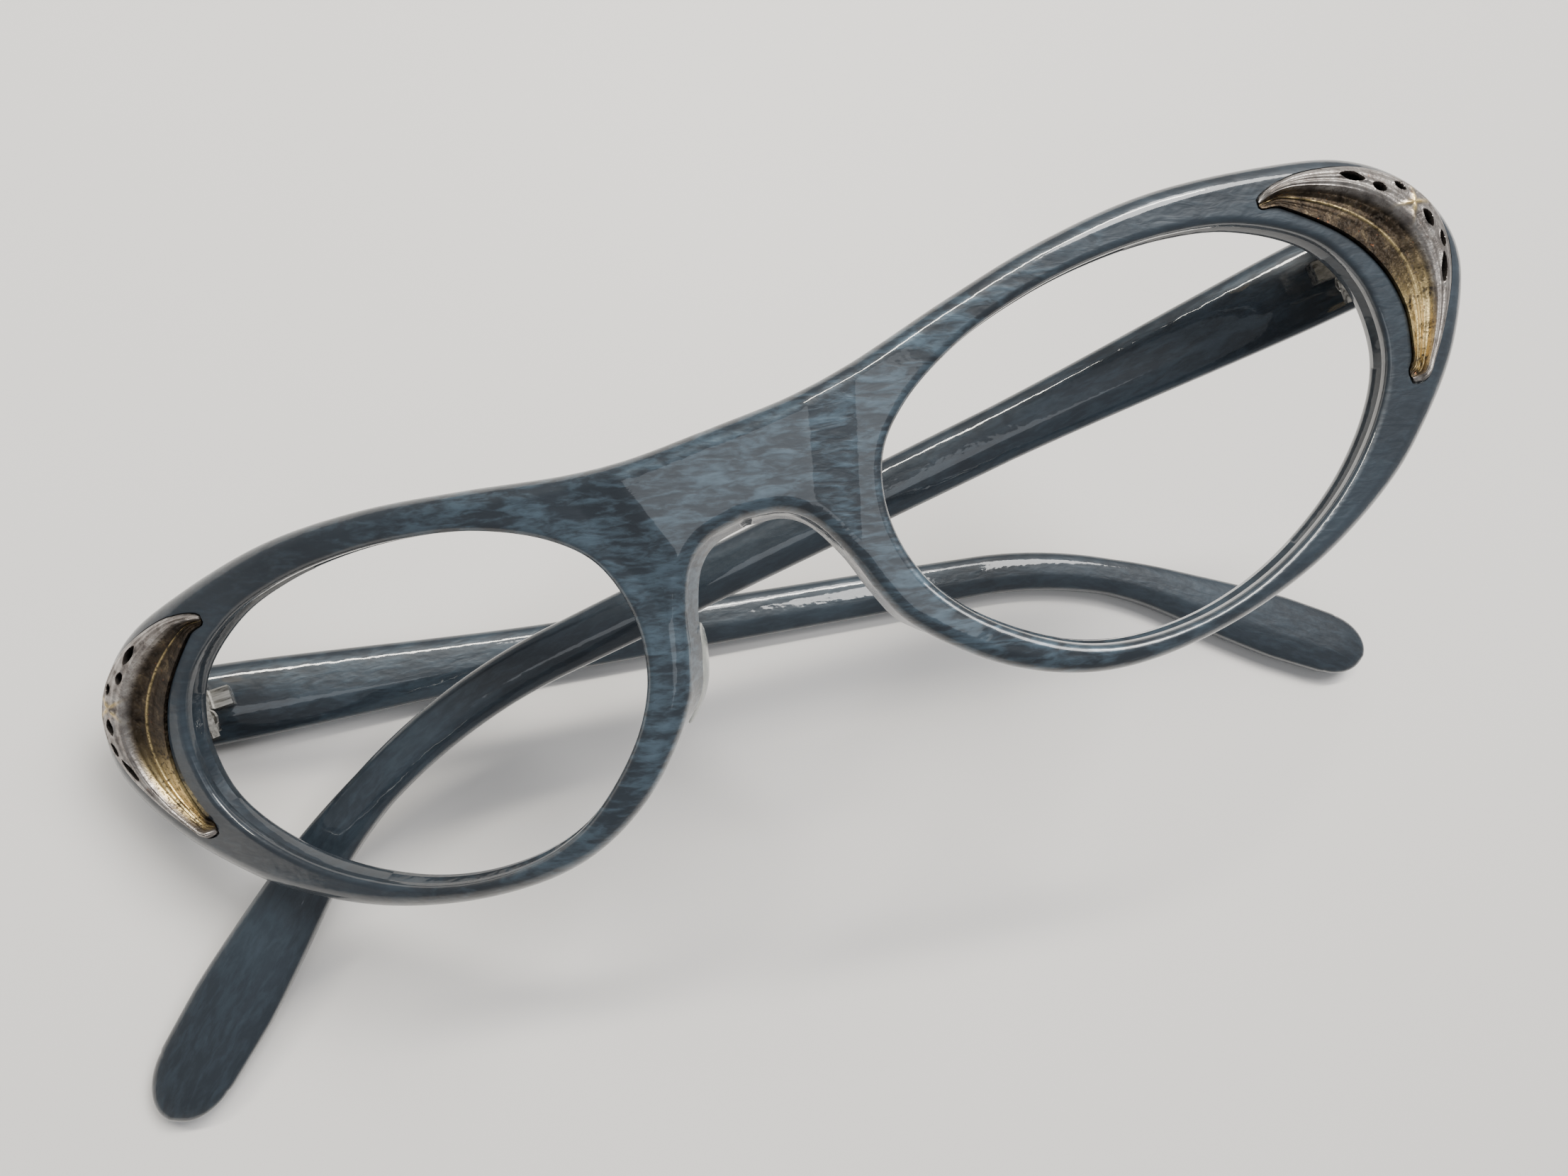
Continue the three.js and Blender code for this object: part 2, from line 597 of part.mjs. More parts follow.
// The temple leaf without its knuckle: a plate inside the temple and the web that leads to the pin.
function sunkLeaf(side, grow) {
  const inner = TEMPLE_INNER_FACE + SUNK_DEPTH;
  const outer = inner + LEAF_THICKNESS;
  const plate = block(
    v(inner - grow, -SUNK_HEIGHT / 2 - grow, -SUNK_START - SUNK_LENGTH - grow),
    v(outer + grow, SUNK_HEIGHT / 2 + grow, -SUNK_START + grow),
  );
  const half = KNUCKLE_HEIGHT / 2 + grow;
  const web = block(v(0.3 - grow, -half, -SUNK_START - 1 - grow), v(outer + grow, half, -WEB_START + grow));
  return plate.transform(new THREE.Matrix4().makeRotationX(-side.drop).elements).add(web);
}

function templeLeafSolid(side) {
  return sunkLeaf(side, 0).add(knuckle(0)).subtract(screwBore());
}

// ---- nose pads ----------------------------------------------------------------------------------
const NOSE_PAD = { wallX: 8.3, y: -4.9, z: -8.3, halfLength: 5.2, halfDepth: 2.9, halfThickness: 0.6 };
const PAD_WALL = v(0.31, -0.95, 0).normalize(); // down the nose wall, whose line the pad carries on

function nosePadSolid() {
  const towardNose = v(PAD_WALL.y, -PAD_WALL.x, 0);
  const geometry = new THREE.SphereGeometry(1, 20, 12);
  geometry.scale(NOSE_PAD.halfThickness, NOSE_PAD.halfLength, NOSE_PAD.halfDepth);
  const deep = towardNose.clone().cross(PAD_WALL);
  geometry.applyMatrix4(new THREE.Matrix4().makeBasis(towardNose, PAD_WALL, deep));
  const stand = towardNose.multiplyScalar(NOSE_DRAFT - NOSE_PAD.halfThickness);
  geometry.translate(NOSE_PAD.wallX + stand.x, NOSE_PAD.y + stand.y, NOSE_PAD.z);
  return solidOf(geometry);
}

// ---- assembly -----------------------------------------------------------------------------------
const worn = new THREE.Group();
worn.rotation.set(LIE_TILT_X, LIE_TILT_Y, 0, "YXZ");

function mirrored(solid, sign) {
  return sign > 0 ? solid : solid.mirror([1, 0, 0]);
}

function add(group, name, solid, material) {
  const mesh = new THREE.Mesh(geometryOf(solid), material);
  mesh.name = name;
  group.add(mesh);
}

let front = frontSolid();
for (const { sign } of SIDES) {
  front = front.subtract(mirrored(trimPocket(), sign));
  const holes = TRIM_PINS.map(({ x, y }) => ({ x, y, end: 10 }));
  for (const { x, y } of FRONT_RIVETS) {
    holes.push({ x, y, end: frontSurface(x, y) - FRONT_RIVET_DEPTH + CLEARANCE });
  }
  for (const { x, y, end } of holes) {
    front = front.subtract(rod(v(sign * x, y, -40), v(sign * x, y, end), PIN_RADIUS + CLEARANCE, 12));
  }
}
add(worn, "front", front, acetate);

for (const side of SIDES) {
  const { name, sign } = side;
  add(worn, `nose_pad_${name}`, mirrored(nosePadSolid(), sign), padPlastic);
  add(worn, `trim_${name}`, mirrored(trimSolid(), sign), silver);
  ["upper", "lower"].forEach((place, i) => {
    add(worn, `trim_pin_${name}_${place}`, mirrored(trimPinSolid(TRIM_PINS[i]), sign), brass);
    add(worn, `front_rivet_${name}_${place}`, mirrored(frontRivetSolid(FRONT_RIVETS[i]), sign), steel);
  });
  add(worn, `front_hinge_leaf_${name}`, mirrored(frontLeafSolid(), sign), steel);

  const hinge = new THREE.Group();
  hinge.position.set(sign * HINGE.x, HINGE.y, HINGE.z);
  hinge.rotation.x = -HINGE_LEAN;
  worn.add(hinge);
  add(hinge, `hinge_screw_${name}`, screwSolid(), steel);

  const swing = new THREE.Group();
  swing.rotation.y = sign * side.fold;
  hinge.add(swing);
  add(swing, `temple_${name}`, mirrored(templeSolid(side), sign), acetate);
  const wire = wireTube(side, WIRE_RADIUS, WIRE_START, WIRE_LENGTH);
  add(swing, `core_wire_${name}`, mirrored(wire, sign), brass);
  add(swing, `temple_hinge_leaf_${name}`, mirrored(templeLeafSolid(side), sign), steel);
}

// The origin is on the table, under the middle of the stored glasses.
const glasses = new THREE.Group();
glasses.add(worn);
glasses.updateMatrixWorld(true);
const extent = new THREE.Box3().setFromObject(worn, true);
const centre = extent.getCenter(new THREE.Vector3());
worn.position.set(-centre.x, -centre.y, -extent.min.z);
export default glasses;
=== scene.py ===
import json
import math

import bmesh
import bpy
import numpy as np
from mathutils import Matrix, Vector


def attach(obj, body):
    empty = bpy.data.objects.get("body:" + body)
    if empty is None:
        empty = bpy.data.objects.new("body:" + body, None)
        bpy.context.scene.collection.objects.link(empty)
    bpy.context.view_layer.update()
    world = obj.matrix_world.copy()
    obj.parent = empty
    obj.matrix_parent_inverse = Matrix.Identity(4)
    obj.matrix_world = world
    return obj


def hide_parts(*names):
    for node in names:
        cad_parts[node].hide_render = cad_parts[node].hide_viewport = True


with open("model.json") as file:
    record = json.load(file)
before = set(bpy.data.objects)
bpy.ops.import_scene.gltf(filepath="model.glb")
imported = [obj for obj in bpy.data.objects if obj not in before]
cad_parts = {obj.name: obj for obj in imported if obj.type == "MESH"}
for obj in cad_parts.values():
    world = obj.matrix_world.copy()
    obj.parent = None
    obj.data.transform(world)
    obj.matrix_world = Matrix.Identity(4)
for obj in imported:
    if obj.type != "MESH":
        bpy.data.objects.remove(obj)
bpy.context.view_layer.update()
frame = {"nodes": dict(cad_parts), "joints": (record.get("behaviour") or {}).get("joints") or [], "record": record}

MM = 0.001
WELD_DISTANCE = 0.000001

# ---- driving dimensions -----------------------------------------------------------------------
LIE_TILT_X = math.radians(4.648)
LIE_TILT_Y = math.radians(-21.742)
HINGE = Vector((61.1, 7.45, -21.5))
HINGE_LEAN = math.atan(0.12)

FRONT_THICKNESS = 4.6
RIDGE_TOP = (8.6, 12.8)
RIDGE_BOTTOM = (5.2, 2.0)
SWEEP_SLOPE = 0.09
SWEEP_CURVE = 0.0026
STRIP_WIDTH = 4.2  # a steeper strip beside each ridge line of the bridge
STRIP_DROP = 0.5
STRIP_RETURN = 11.0
OUTER_EDGE_RADIUS = 1.6
LENS_EDGE_RADIUS = 0.7
BACK_EDGE_RADIUS = 0.9
NOSE_DRAFT = 0.6
NOSE_HALF_WIDTH = 12.0
ARCH_TOP = 8.0
GROOVE_DEPTH = 0.7
GROOVE_WIDTH = 1.8
LENS_CENTRE = np.array((34.0, -1.0))
OUTER_STEPS = 420
LENS_STEPS = 480
ACROSS_STEPS = 34
ROUND_STEPS = 7
BRIDGE_ROWS = 44
FAN_START = 7.1  # below the bridge, sections nearer the middle than this fan out over it
FAN_EASE = 0.7
FRONT_SHARP = 38.0  # edges sharper than this many degrees aren't shaded smooth
PIECE_SHARP = 40.0

TRIM_FLOOR = -0.5
TRIM_RIM = 0.35
TRIM_RIDGE = 1.15
TRIM_CHANNEL = 0.15
TRIM_BAND = 0.4
TRIM_TIP = 0.4
TRIM_STEPS = 420
TIP_PART = 0.035  # the part of the crescent's length that each blunt tip takes
TAPER_PART = 0.05
POCKET_STEPS = 140
POCKET_TOP = 6.0
CLEARANCE = 0.1
BAND_LINES = 3.5
BAND_LINE_HEIGHT = 0.06
RIPPLES = 9
RIPPLE_HEIGHT = 0.03
CREST_AT = 0.66  # the thin crest along the channel, across the section
CREST_WIDTH = 0.014
CREST_HEIGHT = 0.09
PIT_RIM_HEIGHT = 0.05
PIT_FLOOR = TRIM_FLOOR + 0.12
KNOT_AT = 0.47
KNOT_ACROSS = 0.2
KNOT_HEIGHT = 0.22
WORN_GOLD_AT = 0.8  # along the crescent
WORN_GOLD_REACH = 0.12

TEMPLE_LENGTH = 148.4
BEND_RADIUS = 62.3
TEMPLE_HALF_HEIGHTS = [(0, 4.29), (0.245, 2.85), (0.49, 2.64), (0.734, 2.33), (0.91, 4.25), (1, 4.0)]
TEMPLE_THICKNESSES = [(0, 4.0), (0.3, 3.6), (0.7, 3.4), (1, 3.6)]
TEMPLE_MIDDLE = 1.9 + 2.0
TIP_LENGTH = 6.0
BUTT_FORWARD = 2.2
BUTT_MITRE = 0.39
SIDES = [
    {"name": "left", "sign": 1, "fold": math.radians(91.7), "drop": 0.093, "start": 85.3, "bend": 0.595},
    {"name": "right", "sign": -1, "fold": math.radians(67.7), "drop": 0.171, "start": 90.0, "bend": 0.447},
]

CAMERA_AT = Vector((9.56, 5.46, 103.53))
CAMERA_AHEAD = Vector((-0.07915, -0.0653, -0.99472))
CAMERA_UP = Vector((0.35335, 0.93122, -0.08925))
CAMERA_LENS = 29.13

OUTER_POINTS = [
    (0, 13.1), (7.5, 13.2), (12.6, 13.9), (22, 16), (31, 17.7), (41, 18.4), (52.3, 17.2), (58.6, 15.8),
    (62.9, 13.6), (66, 10.7), (67.9, 7.2), (68.3, 4), (67.3, 0.6), (64.4, -4.3), (59.8, -9), (55, -12.6),
    (45.2, -16.9), (33.5, -18.9), (24, -18.1), (16.2, -14.3), (9.8, -7.8), (8.3, -4.4), (7.1, -0.5),
    (5.3, 3), (3.3, 4.5), (0, 5.1),
]
LENS_POINTS = [
    (57.9, 0.9), (57.2, 5.2), (54.4, 9.5), (48, 13.2), (41.6, 14.6), (35, 14.8), (28.5, 14.1), (21.6, 12.3),
    (15.8, 9.2), (12.8, 6), (11.5, 1), (12.3, -4.2), (14.7, -8.4), (19.1, -12.6), (23.5, -15.3),
    (28.5, -16.7), (35.5, -16.8), (42.5, -15.1), (50.1, -11.1), (55.1, -6.4), (57.4, -2.5),
]
TRIM_OUTER_POINTS = [
    (50.2, 14.8), (53.3, 15.6), (58.8, 14.8), (61.8, 13.5), (64.3, 11.7), (66.2, 9.2), (66.9, 6.2),
    (66.3, 3), (64.8, 0), (62.7, -3), (60.8, -4.9), (59.7, -5),
]
TRIM_INNER_POINTS = [
    (50.2, 14.3), (52.2, 13.1), (56.4, 9.8), (58.5, 7.3), (60, 4.3), (60.6, 1.2), (60.3, -1.5), (59.6, -4.3),
]
# Leaf-shaped piercings of the trim's outer band: place along, place across, length, width in mm.
PIERCINGS = [
    (0.27, 0.2, 2.6, 0.8), (0.36, 0.26, 1.5, 0.7), (0.41, 0.12, 1.3, 0.6), (0.53, 0.2, 1.7, 0.8),
    (0.6, 0.14, 1.4, 0.6), (0.67, 0.22, 2.6, 0.7),
]


def placed():
    """The matrix from the worn frame, in millimetres, to the row frame, in metres."""
    turn = Matrix.Rotation(LIE_TILT_Y, 4, "Y") @ Matrix.Rotation(LIE_TILT_X, 4, "X")
    pins = {joint["name"]: Vector(joint["pos_m"]) for joint in frame["joints"]}
    shift = pins["temple_left_fold"] - turn @ (HINGE * MM)
    return Matrix.Translation(shift) @ turn @ Matrix.Scale(MM, 4)


WORN = placed()


# ---- curves -----------------------------------------------------------------------------------
def spline(points, count, closed=False):
    """Points at equal spacing on a centripetal Catmull-Rom curve."""
    p = np.array(points, float)
    if closed:
        p = np.vstack([p[-1:], p, p[:2]])
    else:
        p = np.vstack([2 * p[0] - p[1], p, 2 * p[-1] - p[-2]])
    fine = []
    t = np.linspace(0, 1, 40, endpoint=False)[:, None]
    for a, b, c, d in zip(p[:-3], p[1:-2], p[2:-1], p[3:]):
        ta, tb, tc = (max(np.linalg.norm(q), 1e-6) ** 0.5 for q in (b - a, c - b, d - c))
        m1 = ((b - a) / ta - (c - a) / (ta + tb) + (c - b) / tb) * tb
        m2 = ((c - b) / tb - (d - b) / (tb + tc) + (d - c) / tc) * tb
        fine.append(b + m1 * t + (3 * (c - b) - 2 * m1 - m2) * t**2 + (2 * (b - c) + m1 + m2) * t**3)
    fine = np.vstack(fine + [p[-2:-1]])
    along = np.concatenate([[0], np.cumsum(np.linalg.norm(np.diff(fine, axis=0), axis=1))])
    at = np.linspace(0, along[-1], count + 1)
    return np.stack([np.interp(at, along, fine[:, k]) for k in range(2)], axis=1)


def edge_distance(points, line):
    """The distance of each point from a polyline."""
    a, b = line[:-1], line[1:]
    d = b - a
    square = (d * d).sum(1)
    best = np.full(len(points), np.inf)
    for start in range(0, len(points), 2000):
        q = points[start : start + 2000, None, :]
        t = np.clip(((q - a) * d).sum(2) / square, 0, 1)
        gap = q - a - t[:, :, None] * d
        best[start : start + 2000] = np.sqrt((gap * gap).sum(2).min(1))
    return best


def rounding_drop(distance, radius):
    rest = np.clip(radius - distance, 0, radius)
    return radius - np.sqrt(radius * radius - rest * rest)


def smooth(value, low, high):
    t = np.clip((value - low) / (high - low), 0, 1)
    return t * t * (3 - 2 * t)


def front_surface(x, y):
    along = (y - RIDGE_BOTTOM[1]) / (RIDGE_TOP[1] - RIDGE_BOTTOM[1])
    ridge = RIDGE_BOTTOM[0] + (RIDGE_TOP[0] - RIDGE_BOTTOM[0]) * along
    outside = np.maximum(np.abs(x) - ridge, 0)
    strip = np.minimum(outside / STRIP_WIDTH, 1) * np.clip(1 - (outside - STRIP_WIDTH) / STRIP_RETURN, 0, 1)
    return -SWEEP_SLOPE * outside - SWEEP_CURVE * outside * outside - STRIP_DROP * strip


# ---- meshes -----------------------------------------------------------------------------------
def mesh_piece(name, points, faces, grain, body=None, nodes=(), colour=None):
    """A mesh from points in the worn frame. grain is each point's place for the material's pattern."""
    place = np.array(WORN)
    world = points @ place[:3, :3].T + place[:3, 3]
    mesh = bpy.data.meshes.new(name)
    mesh.from_pydata(world.tolist(), [], faces)
    mesh.validate()
    stored = mesh.attributes.new("grain", "FLOAT_VECTOR", "POINT")
    stored.data.foreach_set("vector", np.ascontiguousarray(grain, np.float32).ravel())
    if colour is not None:
        stored = mesh.attributes.new("zones", "FLOAT_COLOR", "POINT")
        full = np.concatenate([colour, np.ones((len(colour), 1))], axis=1)
        stored.data.foreach_set("color", np.ascontiguousarray(full, np.float32).ravel())
    piece = bpy.data.objects.new(name, mesh)
    bpy.context.scene.collection.objects.link(piece)
    finish_shading(piece, PIECE_SHARP)
    if body:
        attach(piece, body)
        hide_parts(*nodes)
    return piece


def finish_shading(piece, sharp):
    piece.data.shade_smooth()
    piece.data.set_sharp_from_angle(angle=math.radians(sharp))


def ring_faces(rings, count):
    """Faces of a loft of rings, each with count points, and of its two ends."""
    faces = []
    for i in range(rings - 1):
        for k in range(count):
            a, b = i * count + k, i * count + (k + 1) % count
            faces.append((a, b, b + count, a + count))
    faces.append(tuple(range(count))[::-1])
    faces.append(tuple(range((rings - 1) * count, rings * count)))
    return faces


def join_half(points, faces, grain):
    """Adds the mirror image across x = 0."""
    mirror = points * (-1, 1, 1)
    n = len(points)
    other = [tuple(n + i for i in face[::-1]) for face in faces]
    return np.vstack([points, mirror]), faces + other, np.vstack([grain, grain * (-1, 1, 1)])


def weld(piece):
    """Joins points that lie within a micrometre of each other and turns every face outwards."""
    mesh = piece.data
    work = bmesh.new()
    work.from_mesh(mesh)
    bmesh.ops.remove_doubles(work, verts=work.verts, dist=WELD_DISTANCE)
    bmesh.ops.recalc_face_normals(work, faces=work.faces)
    work.to_mesh(mesh)
    work.free()


# ---- the front --------------------------------------------------------------------------------
def lens_points(angles, lens_edge):
    offset = lens_edge[:-1] - LENS_CENTRE
    polar = np.unwrap(np.arctan2(offset[:, 1], offset[:, 0]))
    radius = np.hypot(offset[:, 0], offset[:, 1])
    if polar[-1] < polar[0]:
        polar, radius = polar[::-1], radius[::-1]
    polar = np.concatenate([polar - 2 * np.pi, polar, polar + 2 * np.pi])
    radius = np.tile(radius, 3)
    reach = np.interp(angles, polar, radius)
    return LENS_CENTRE + np.stack([reach * np.cos(angles), reach * np.sin(angles)], axis=1)


def across_steps(width, inner_radius, outer_radius):
    """Distances across each section: dense in the rounded edges. One row per section."""
    scale = np.minimum(1, width / (1.6 * (inner_radius + outer_radius)))[:, None]
    quarter = 1 - np.cos(np.linspace(0, np.pi / 2, ROUND_STEPS))
    inner = quarter[None, :] * inner_radius * scale
    outer = width[:, None] - quarter[::-1][None, :] * outer_radius * scale
    part = np.linspace(0, 1, ACROSS_STEPS)[1:-1]
    middle = inner[:, -1:] + part * (outer[:, :1] - inner[:, -1:])
    return np.hstack([inner, middle, outer])


def spoke_angles(outer):
    """Where each section starts on the lens edge. Past the nose wall they fan out evenly over the bridge."""
    angles = np.unwrap(np.arctan2(outer[:, 1] - LENS_CENTRE[1], outer[:, 0] - LENS_CENTRE[0]))
    steps = np.linalg.norm(np.diff(outer, axis=0, append=outer[:1]), axis=1)
    length = np.concatenate([[0], np.cumsum(steps)])
    start = np.argmax((outer[:, 0] < FAN_START) & (outer[:, 1] < ARCH_TOP))
    part = (length[start:-1] - length[start]) / (length[-1] - length[start])
    last = angles[0] - 2 * np.pi
    angles[start:] = angles[start] + (last - angles[start]) * part**FAN_EASE
    return angles


def front_rings(outer, normal, outer_edge, lens_edge):
    angles = spoke_angles(outer)
    inner = lens_points(angles, lens_edge)
    on_arch = outer[:, 1] < ARCH_TOP
    fade = smooth(outer[:, 0], NOSE_HALF_WIDTH - 3, NOSE_HALF_WIDTH)
    draft = np.where(on_arch, NOSE_DRAFT * (1 - fade), 0.0)
    back_outer = outer + normal * draft[:, None]
    columns = []
    for side, far in (("front", outer), ("back", back_outer)):
        width = np.linalg.norm(far - inner, axis=1)
        radius = OUTER_EDGE_RADIUS if side == "front" else BACK_EDGE_RADIUS
        steps = across_steps(width, LENS_EDGE_RADIUS, radius)
        p = inner[:, None, :] + (far - inner)[:, None, :] * (steps / width[:, None])[:, :, None]
        flat = p.reshape(-1, 2)
        from_outer = edge_distance(flat, outer_edge)
        rounded = rounding_drop(edge_distance(flat, lens_edge), LENS_EDGE_RADIUS)
        height = front_surface(flat[:, 0], flat[:, 1])
        if side == "front":
            z = height - rounded - rounding_drop(from_outer, radius)
        else:
            beyond = (steps > np.linalg.norm(outer - inner, axis=1)[:, None]).ravel()
            lean = np.repeat(draft, steps.shape[1])
            distance = np.where(beyond, 0, from_outer + lean)
            z = height - FRONT_THICKNESS + rounded + rounding_drop(distance, radius)
        block = np.concatenate([p, z.reshape(steps.shape)[:, :, None]], axis=2)
        columns.append(block if side == "front" else block[:, ::-1])
    middle = front_surface(inner[:, 0], inner[:, 1]) - FRONT_THICKNESS / 2
    reach = np.linalg.norm(outer - inner, axis=1)[:, None]
    for depth, height in ((0, -0.5), (0.8, -0.12), (1, 0), (0.8, 0.12), (0, 0.5)):
        p = inner + (outer - inner) * depth * GROOVE_DEPTH / reach
        columns.append(np.column_stack([p, middle + height * GROOVE_WIDTH])[:, None, :])
    return np.concatenate(columns, axis=1), columns[0].shape[1] - 1


def build_front():
    outer_edge = spline(OUTER_POINTS, OUTER_STEPS)
    lens_edge = spline(LENS_POINTS, LENS_STEPS, closed=True)
    step = np.gradient(outer_edge, axis=0)
    step /= np.linalg.norm(step, axis=1)[:, None]
    normal = np.column_stack([-step[:, 1], step[:, 0]])
    normal[0] = (0, 1)
    normal[-1] = (0, -1)
    arch, top = outer_edge[-1, 1], outer_edge[0, 1]
    part = np.linspace(0, 1, BRIDGE_ROWS + 2)[1:-1]
    eased = 0.5 - 0.5 * np.cos(np.pi * part)
    middle = np.column_stack([np.zeros(BRIDGE_ROWS), arch + (top - arch) * eased])
    outer = np.vstack([outer_edge, middle])
    normals = np.vstack([normal, np.zeros_like(middle)])
    rings, wall_column = front_rings(outer, normals, outer_edge, lens_edge)
    rows, count = rings.shape[:2]
    faces = []
    for i in range(rows):
        following = (i + 1) % rows
        for k in range(count):
            if k == wall_column and i >= OUTER_STEPS:
                continue
            a, b = i * count + k, i * count + (k + 1) % count
            c, d = following * count + (k + 1) % count, following * count + k
            faces.append((a, d, c, b))
    points = rings.reshape(-1, 3)
    points, faces, grain = join_half(points, faces, points)
    piece = mesh_piece("front_acetate", points, faces, grain)
    weld(piece)
    for side in SIDES:
        cutter = crescent_mesh(side["sign"], CLEARANCE, TRIM_FLOOR - CLEARANCE, POCKET_STEPS)
        cut = piece.modifiers.new("pocket", "BOOLEAN")
        cut.operation = "DIFFERENCE"
        cut.solver = "EXACT"
        cut.object = cutter
        apply_modifiers(piece)
        bpy.data.objects.remove(cutter)
    place = np.array(WORN.inverted())
    co = np.empty(len(piece.data.vertices) * 3, np.float32)
    piece.data.vertices.foreach_get("co", co)
    co = co.reshape(-1, 3) @ place[:3, :3].T + place[:3, 3]
    if "grain" in piece.data.attributes:
        piece.data.attributes.remove(piece.data.attributes["grain"])
    stored = piece.data.attributes.new("grain", "FLOAT_VECTOR", "POINT")
    stored.data.foreach_set("vector", co.astype(np.float32).ravel())
    finish_shading(piece, FRONT_SHARP)
    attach(piece, "front")
    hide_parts("front")
    return piece


def apply_modifiers(piece):
    bpy.context.view_layer.update()
    graph = bpy.context.evaluated_depsgraph_get()
    mesh = bpy.data.meshes.new_from_object(piece.evaluated_get(graph))
    piece.modifiers.clear()
    piece.data = mesh


# ---- crescent trims ---------------------------------------------------------------------------
def crescent_edges(grow, steps):
    """The crescent's two edges, grown outwards, and its width before that."""
    outer = spline(TRIM_OUTER_POINTS, steps)
    inner = spline(TRIM_INNER_POINTS, steps)
    across = outer - inner
    width = np.linalg.norm(across, axis=1)
    across /= width[:, None]
    reach = TRIM_TIP + grow
    near = np.minimum(np.arange(steps + 1), steps - np.arange(steps + 1)) / (TIP_PART * steps)
    blunt = np.clip(1 - near, 0, 1)
    bulge = grow + TRIM_TIP * np.sqrt(np.clip(1 - blunt**2, 0, 1)) * np.clip(1 - near / 2, 0, 1)
    outer = outer + across * bulge[:, None]
    inner = inner - across * bulge[:, None]
    for end, neighbour, order in ((0, 4, 1), (steps, steps - 4, -1)):
        along = (outer[end] - outer[neighbour]) / np.linalg.norm(outer[end] - outer[neighbour])
        for i in range(int(TAPER_PART * steps)):
            k = end + order * i
            shift = reach * (1 - i / (TAPER_PART * steps)) ** 2
            outer[k] += along * shift
            inner[k] += along * shift
    return outer, inner, width


def crescent_mesh(sign, grow, floor, steps):
    """The crescent as a plain prism that cuts the trim's pocket."""
    outer, inner, _ = crescent_edges(grow, steps)
    rings = []
    for a, b in zip(outer, inner):
        low_a, low_b = (front_surface(*p) + floor for p in (a, b))
        rings.append([(*a, POCKET_TOP), (*b, POCKET_TOP), (*b, low_b), (*a, low_a)])
    points = np.array(rings, float).reshape(-1, 3) * (sign, 1, 1)
    piece = mesh_piece("pocket", points, ring_faces(len(rings), 4), points)
    weld(piece)
    return piece


def trim_profile(part):
    """Height of the trim's section, from the outer edge at 0 to the inner edge at 1."""
    knots = [0, 0.04, 0.18, 0.33, TRIM_BAND, 0.44, 0.52, 0.62, 0.75, 0.88, 0.95, 0.985, 1]
    ridge = TRIM_RIDGE
    heights = [TRIM_RIM - 0.35, TRIM_RIM + 0.1, 0.86 * ridge, ridge, ridge * 0.97, 0.72 * ridge, 0.42, 0.22,
               TRIM_CHANNEL, 0.24, 0.4, 0.36, 0.0]
    return np.interp(part, knots, heights)


def pierce(length, width, u, w_grid):
    """How deep in a piercing each point is, from 0 to 1, and how high the piercings' rims stand."""
    pit = np.zeros_like(w_grid)
    rims = np.zeros_like(w_grid)
    for at, across, long, wide in PIERCINGS:
        along_mm = length - np.interp(at, u, length[:, 0])
        across_mm = (w_grid - across) * width[:, None]
        slant = across_mm - 0.12 * along_mm
        leaf = (np.abs(along_mm) / (long / 2)) ** 1.6 + (np.abs(slant) / (wide / 2)) ** 1.6
        pit = np.maximum(pit, 1 - smooth(leaf, 0.8, 1.15))
        rims += PIT_RIM_HEIGHT * np.exp(-(((leaf - 1.35) / 0.3) ** 2))
    return pit, rims


def tie_knot(length, width, u, w_grid):
    """Two crossing strands, from 0 to 1."""
    knot = np.zeros_like(w_grid)
    for lean in (1, -1):
        along_mm = length - np.interp(KNOT_AT, u, length[:, 0])
        across_mm = (w_grid - KNOT_ACROSS) * width[:, None]
        strand = (along_mm * 0.75 + lean * across_mm * 0.66) / 0.2
        near = np.exp(-((along_mm**2 + across_mm**2) / 1.6))
        knot = np.maximum(knot, np.exp(-strand * strand) * near)
    return knot


